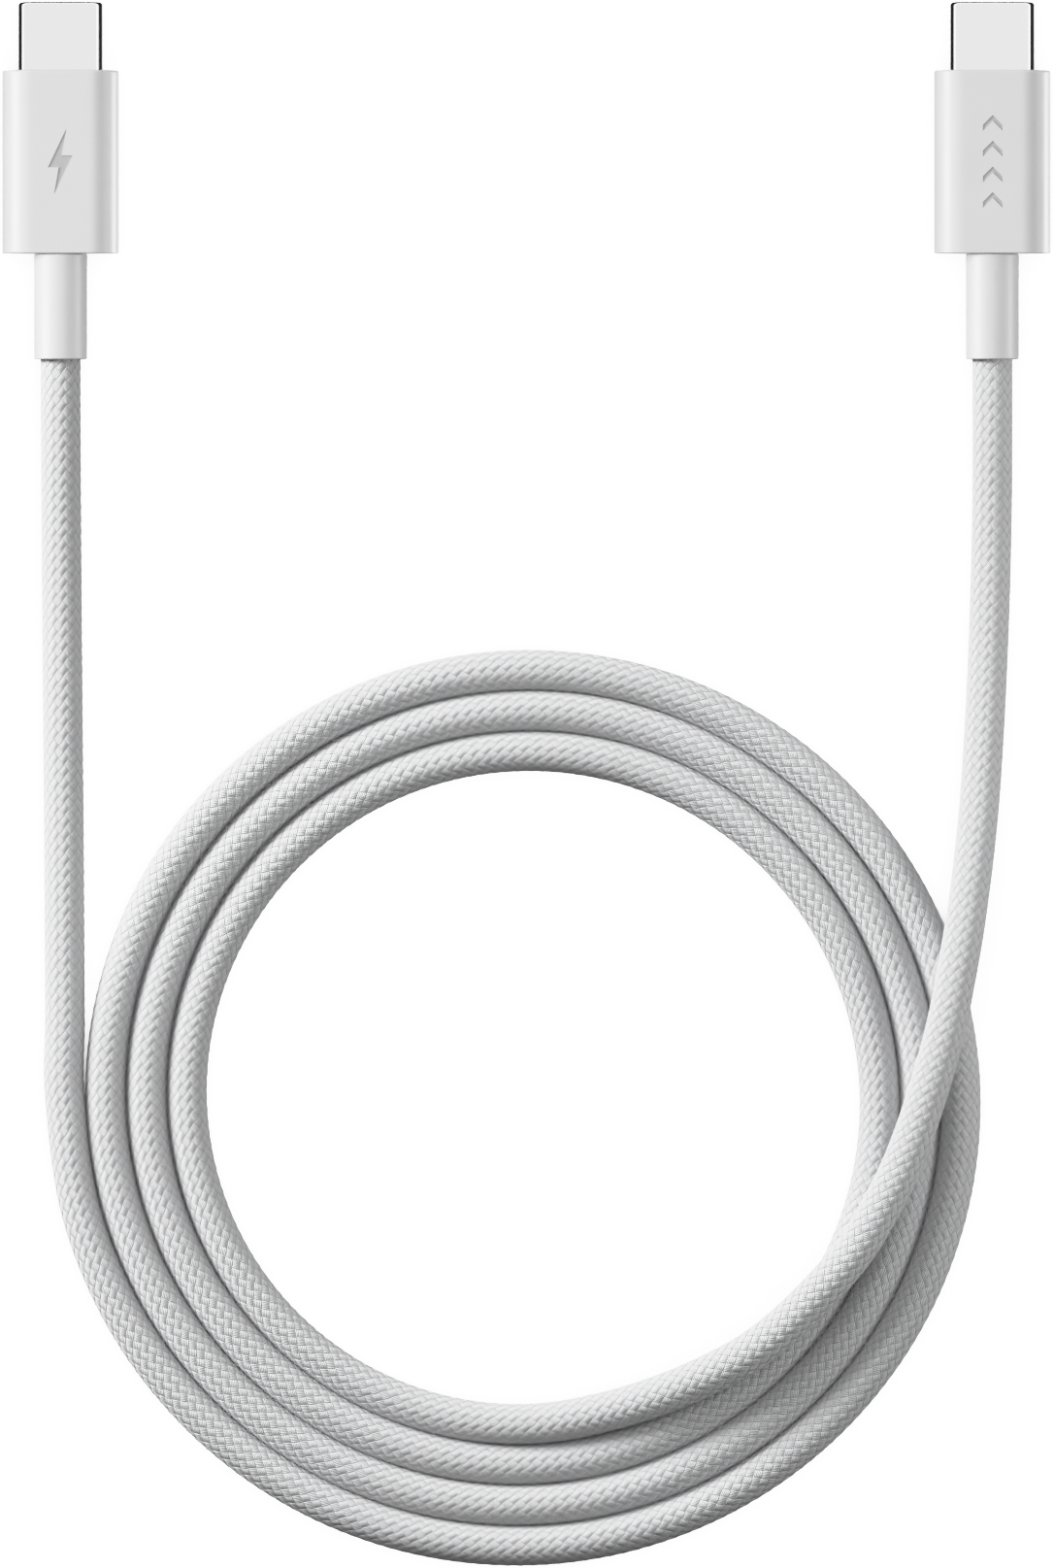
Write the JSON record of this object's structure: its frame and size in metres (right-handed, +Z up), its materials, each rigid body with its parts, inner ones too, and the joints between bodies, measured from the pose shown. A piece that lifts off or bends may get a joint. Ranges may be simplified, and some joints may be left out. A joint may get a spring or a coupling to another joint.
{
  "type": "charging cable",
  "caption": "White braided charging cable with a USB-C plug on each end, lying in a flat round coil, one end crossing over the turns.",
  "frame": {"origin": "on the surface the cable lies on, midway between the two plugs and midway along their length", "axes": "+X from plug A to plug B, +Y along the plugs towards their metal tips, +Z up from the surface; the coil lies on the -Y side"},
  "size_m": [0.1022, 0.1523, 0.0078],
  "materials": {
    "housing": "satin white moulded polycarbonate",
    "relief": "matte white elastomer",
    "shell": "bright nickel-plated stainless steel, finely polished",
    "insulator": "black moulded liquid-crystal polymer",
    "gold": "gold-plated copper alloy",
    "spring": "stamped stainless steel",
    "card": "green glass-epoxy board with tinned pads",
    "chip": "black epoxy package",
    "ceramic": "fired ceramic chip",
    "mould": "natural polyethylene",
    "ferrule": "tinned steel",
    "jacket": "grey elastomer jacket",
    "red_wire": "red insulation",
    "black_wire": "black insulation",
    "blue_wire": "blue insulation",
    "green_wire": "green insulation",
    "white_wire": "white insulation",
    "braid": "white braided nylon yarn"
  },
  "bodies": {
    "root": {"plug_a_metal_shell": "shell", "plug_a_front_insulator": "insulator", "plug_a_upper_contacts": "gold", "plug_a_lower_contacts": "gold", "plug_a_latch_plate": "spring", "plug_a_upper_ground_spring": "spring", "plug_a_lower_ground_spring": "spring", "plug_a_paddle_card": "card", "plug_a_marker_chip": "chip", "plug_a_bypass_capacitor": "ceramic", "plug_a_pull_down_resistor": "chip", "plug_a_upper_shield": "spring", "plug_a_lower_shield": "spring", "plug_a_inner_mould": "mould", "plug_a_housing": "housing", "plug_a_crimp_ferrule": "ferrule", "plug_a_jacket_end": "jacket", "plug_a_strain_relief": "relief", "plug_a_vbus_wire": "red_wire", "plug_a_ground_wire": "black_wire", "plug_a_cc_wire": "blue_wire", "plug_a_data_plus_wire": "green_wire", "plug_a_data_minus_wire": "white_wire", "plug_b_metal_shell": "shell", "plug_b_front_insulator": "insulator", "plug_b_upper_contacts": "gold", "plug_b_lower_contacts": "gold", "plug_b_latch_plate": "spring", "plug_b_upper_ground_spring": "spring", "plug_b_lower_ground_spring": "spring", "plug_b_paddle_card": "card", "plug_b_marker_chip": "chip", "plug_b_bypass_capacitor": "ceramic", "plug_b_pull_down_resistor": "chip", "plug_b_upper_shield": "spring", "plug_b_lower_shield": "spring", "plug_b_inner_mould": "mould", "plug_b_housing": "housing", "plug_b_crimp_ferrule": "ferrule", "plug_b_jacket_end": "jacket", "plug_b_strain_relief": "relief", "plug_b_vbus_wire": "red_wire", "plug_b_ground_wire": "black_wire", "plug_b_cc_wire": "blue_wire", "plug_b_data_plus_wire": "green_wire", "plug_b_data_minus_wire": "white_wire", "cord_lead": "braid", "cord_coil": "braid", "cord_tail": "braid"}
  },
  "joints": []
}
